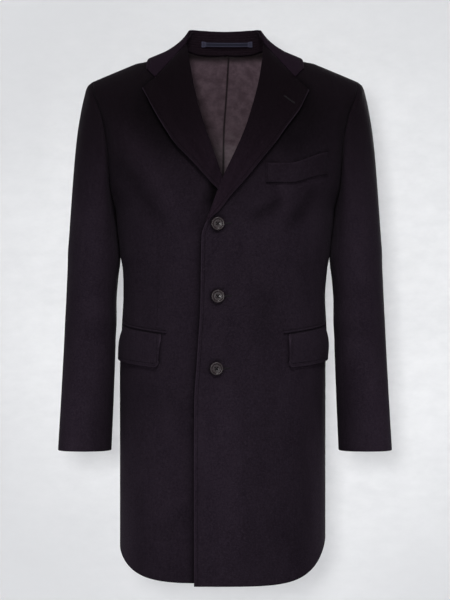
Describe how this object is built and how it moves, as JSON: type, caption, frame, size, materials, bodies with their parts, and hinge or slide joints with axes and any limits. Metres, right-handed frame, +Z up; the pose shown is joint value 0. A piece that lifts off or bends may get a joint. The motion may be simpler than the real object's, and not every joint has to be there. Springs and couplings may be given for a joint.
{
  "type": "wool overcoat",
  "caption": "Single-breasted wool overcoat with notch lapels, buttoned front, flap pockets and breast welt, filled out as if worn, open at neck, hem and cuffs.",
  "frame": {"origin": "on the coat's middle line between the shoulders, where a wearer holds it up", "axes": "+Z up, the front faces -Y, the wearer's left is +X"},
  "size_m": [0.574, 0.2959, 0.9492],
  "materials": {
    "wool": "matte",
    "lining": "satin",
    "loop": "matte",
    "horn": "satin"
  },
  "bodies": {
    "root": {"front_left": "wool", "front_right": "wool", "back_left": "wool", "back_right": "wool", "top_sleeve_left": "wool", "top_sleeve_right": "wool", "under_sleeve_left": "wool", "under_sleeve_right": "wool", "collar_leaf": "wool", "collar_stand": "wool", "lapel_left": "wool", "lapel_right": "wool", "pocket_flap_left": "wool", "pocket_flap_right": "wool", "pocket_jet_left": "wool", "pocket_jet_right": "wool", "breast_welt": "wool", "lining_left": "lining", "lining_right": "lining", "hanger_loop": "loop", "button_top": "horn", "button_middle": "horn", "button_bottom": "horn"}
  },
  "joints": []
}
